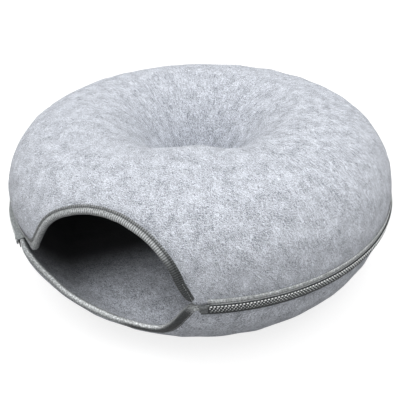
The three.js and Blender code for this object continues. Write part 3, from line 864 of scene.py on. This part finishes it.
# ----------------------------------------------------------
# Zip chain. A closed coil zip: two rows of bent nylon loops whose heads mesh along the middle, on a web of
# tape that is painted dark as shade. The heads are pale nylon, a painted highlight on the loops; a row of
# pale stitches over the legs of the upper loops is its brightest line.
CHAIN_START, CHAIN_END, CHAIN_BACK = 30.4, 332.2, 0.1
LOOP_PITCH, LOOP_LEAN, STITCH_LEAN = 3.43, 0.25, 0.16
loop_count = int(np.radians(CHAIN_END - CHAIN_START) * OUTER_RADIUS / LOOP_PITCH)
loop_angles = CHAIN_START + (np.arange(loop_count) + 0.25) * (CHAIN_END - CHAIN_START) / loop_count


def band_place(angles, along, out, height):
    """Point on the band of the zip, a distance along from an angle, out from the felt and up from the
    chain's middle, with the outward and forward directions there."""
    angles = angles + np.degrees(along / OUTER_RADIUS)
    radius = OUTER_RADIUS + band_shift(wrap(angles)) + out
    outward, ahead = place(angles, 1.0, 0.0), place(angles + 90, 1.0, 0.0)
    return place(angles, radius, CHAIN_HEIGHT + height), outward, ahead


def plastic_material(name, dark, light, rough, metallic=0.0):
    """Moulded nylon or plain metal: two close tones by a fine mottle, which also breaks up its gloss."""
    made, tree, sockets = new_material(name, rough, {"Metallic": metallic})
    at = node(tree, "ShaderNodeTexCoord").outputs["Object"]
    mottle = noise(tree, at, 700.0, 3.0)["Fac"]
    tree.links.new(dye(tree, mottle, [(0.3, dark), (0.7, light)]), sockets["Base Color"])
    span = {"Value": mottle, "To Min": rough - 0.1, "To Max": rough + 0.1}
    tree.links.new(node(tree, "ShaderNodeMapRange", span).outputs[0], sockets["Roughness"])
    raise_surface(tree, sockets, mottle, 0.04)
    return made


up = np.array([0, 0, 1.0])
dark_nylon = plastic_material("dark_coil_nylon", (0.012, 0.014, 0.015), (0.045, 0.05, 0.053), 0.42)
# Pale heads on the dark loops: painted highlight, of the same nylon
highlight_nylon = plastic_material("coil_heads_painted_highlight", (0.5, 0.52, 0.525), (0.86, 0.88, 0.885), 0.4)
chain_thread = thread_material("zip_sewing_thread", (0.72, 0.74, 0.74), (0.93, 0.94, 0.94))
for name, along, out, height, shape, lean, material, slot in (
    ("upper_zip_loops", 0.0, 1.15, 2.0, bead(4.4, 1.4, 1.9), up, dark_nylon, "zip_teeth"),
    ("lower_zip_loops", 0.5, 1.15, -1.2, bead(4.6, 1.4, 1.9), -up, dark_nylon, "zip_teeth"),
    ("upper_zip_heads", 0.0, 1.6, 1.5, bead(2.3, 1.7, 1.5, rings=4), up, highlight_nylon, "zip_teeth"),
    ("lower_zip_heads", 0.5, 1.55, -0.7, bead(2.0, 1.4, 1.4, rings=4), -up, highlight_nylon, "zip_teeth"),
    ("upper_zip_stitches", 0.25, 2.1, 4.1, bead(2.6, 1.9, 1.1, rings=4), None, chain_thread, "zip_tape"),
    ("lower_zip_stitches", 0.25, 0.55, -3.7, bead(2.2, 0.8, 0.8, rings=4), None, pale_thread, "zip_tape"),
):
    centres, outward, ahead = band_place(loop_angles, along * LOOP_PITCH, CHAIN_BACK + out, height)
    forward = ahead + STITCH_LEAN * up if lean is None else lean + LOOP_LEAN * ahead
    beads = repeated(name, shape, centres, forward, outward, material)
    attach(beads, "root")
    if name == "upper_zip_loops":
        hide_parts("zip_chain")

# Web of the two tapes behind the loops, which closes the view between them, in the deep tone as painted shade
web_angles = np.linspace(CHAIN_START, CHAIN_END, TAPE_COLUMNS)
shift = band_shift(wrap(web_angles))
web_grid = strip_grid(web_angles, [(shift + out, CHAIN_HEIGHT + height) for out, height in (
    (0.1, 3.9), (0.6, 3.7), (0.65, 0), (0.6, -3.7), (0.1, -3.9))])
web_values = strip_values(web_angles, web_grid, 0.0)
web = skin("zip_coil_web", web_grid, zip_tape, ring=False, loop=True, **web_values)
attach(web, "root")

# ----------------------------------------------------------
# Zip ends. At the right corner the tapes' ends are covered by a smooth folded tab sewn over them; at the
# left corner the chain ends in a small bright metal stop that is clamped round it.
TAB_TONE = 0.45


def pillow_grid(start, end, width, thickness, squareness, columns=48, rows=28):
    """Block round the band with rounded edges: a superellipsoid over its angle, height and thickness."""
    turn = np.linspace(0, 2 * np.pi, rows, endpoint=False)
    lean = np.linspace(-np.pi / 2, np.pi / 2, columns + 2)[1:-1, None]

    def power(value):
        return np.sign(value) * np.abs(value) ** (2 / squareness)

    along, out = power(np.sin(lean)) + 0 * turn, power(np.cos(lean)) * power(np.cos(turn))
    height = power(np.cos(lean)) * power(np.sin(turn)) * width / 2
    angle = (start + end) / 2 + along * (end - start) / 2
    radius = OUTER_RADIUS + band_shift(wrap(angle)) + CHAIN_BACK + thickness / 2 * (1 + out)
    ends = np.array([start, end])
    tips = place(ends, OUTER_RADIUS + band_shift(wrap(ends)) + CHAIN_BACK + thickness / 2, CHAIN_HEIGHT + 0.0)
    tape_at = stacked(np.radians(angle) * OUTER_RADIUS, height, 0.0)
    values = dict(tape_at=tape_at, tape_tone=0 * tape_at + [TAB_TONE, 0, 0])
    return place(angle, radius, CHAIN_HEIGHT + height), tips, values


grid, tips, tab_values = pillow_grid(28.3, 30.1, 8.2, 2.0, 7)
tab = skin("zip_start_tab_cover", grid, zip_tape, poles=tips, loop=True, **tab_values)
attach(tab, "root")
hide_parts("zip_start_tab")
grid, tips, _ = pillow_grid(332.4, 333.1, 6.4, 2.2, 4.5)
bright_metal = plastic_material("bright_stop_metal", (0.55, 0.56, 0.57), (0.80, 0.81, 0.82), 0.32, 1.0)
stop = skin("zip_end_stop_clamp", grid, bright_metal, poles=tips, loop=True)
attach(stop, "root")
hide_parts("zip_end_stop")

# ----------------------------------------------------------
# Studio. A plain pale floor that shows nearly white to the camera and throws little light back up, a wide
# soft light overhead, weaker ones from the front and both sides, a small one in the entrance, a dim surround.
FLOOR_GLOW, SURROUND = 0.78, 0.06
LIGHTS = [
    ("overhead_light", 3.05, 60, 0, 0), ("front_light", 0.85, 60, 55, 29), ("right_light", 0.35, 60, 60, 119),
    ("left_light", 0.4, 60, 60, -61),
]
floor_mesh = bpy.data.meshes.new("studio_floor")
floor_mesh.from_pydata([(-30, -30, 0), (30, -30, 0), (30, 30, 0), (-30, 30, 0)], [], [(0, 1, 2, 3)])
floor = bpy.data.objects.new("studio_floor", floor_mesh)
bpy.context.scene.collection.objects.link(floor)
pale, tree, sockets = new_material("pale_floor", 0.9, {"Specular IOR Level": 0.1})
at = node(tree, "ShaderNodeTexCoord").outputs["Object"]
speckle = noise(tree, at, 3.0, 2.0)["Fac"]
tree.links.new(dye(tree, speckle, [(0.3, (0.29,) * 3), (0.7, (0.31,) * 3)]), sockets["Base Color"])
seen = node(tree, "ShaderNodeLightPath").outputs["Is Camera Ray"]
sockets["Emission Color"].default_value = (1, 1, 1, 1)
tree.links.new(reckon(tree, "MULTIPLY", seen, FLOOR_GLOW), sockets["Emission Strength"])
floor_mesh.materials.append(pale)

for name, energy, spread, tilt, way in LIGHTS:
    data = bpy.data.lights.new(name, "SUN")
    data.energy, data.angle = energy, np.radians(spread)
    sun = bpy.data.objects.new(name, data)
    sun.rotation_euler = (np.radians(tilt), 0, np.radians(way))
    bpy.context.scene.collection.objects.link(sun)
data = bpy.data.lights.new("entrance_light", "AREA")
data.shape, data.size, data.energy = "DISK", 0.06, 0.055
entrance_light = bpy.data.objects.new("entrance_light", data)
entrance_light.location, entrance_light.visible_camera = (0.02, -0.2, 0.135), False
bpy.context.scene.collection.objects.link(entrance_light)
world = bpy.data.worlds.new("pale_surround")
world.use_nodes = True
world.node_tree.nodes["Background"].inputs["Color"].default_value = (1, 1, 1, 1)
world.node_tree.nodes["Background"].inputs["Strength"].default_value = SURROUND
bpy.context.scene.world = world
bpy.context.scene.view_settings.view_transform = "Standard"

# ----------------------------------------------------------
# Camera. It stands to the right of the entrance and looks down on the bed, so close that the perspective is
# strong, and it is rolled a little. The picture is shifted, as a crop of a larger one.
AZIMUTH, ELEVATION, DISTANCE, ROLL = 29, 34.263, 0.6625, -1.5
TARGET_HEIGHT = 0.0425
LENS, SHIFT_X, SHIFT_Y = 40.99, 0.0002, 0.01715
camera_data = bpy.data.cameras.new("front_camera")
camera_data.lens, camera_data.sensor_width = LENS, 36
camera_data.shift_x, camera_data.shift_y = SHIFT_X, SHIFT_Y
camera_data.clip_start, camera_data.clip_end = 0.01, 100
camera = bpy.data.objects.new("front_camera", camera_data)
bpy.context.scene.collection.objects.link(camera)
a, e, turn = np.radians([AZIMUTH, ELEVATION, ROLL])
back = np.array([np.sin(a) * np.cos(e), -np.cos(a) * np.cos(e), np.sin(e)])
level = np.array([np.cos(a), np.sin(a), 0])
above = np.cross(back, level)
axes = [np.cos(turn) * level + np.sin(turn) * above, np.cos(turn) * above - np.sin(turn) * level, back]
seat = np.eye(4)
seat[:3] = np.stack([*axes, back * DISTANCE + [0, 0, TARGET_HEIGHT]], axis=1)
camera.matrix_world = Matrix(seat.tolist())
bpy.context.scene.camera = camera
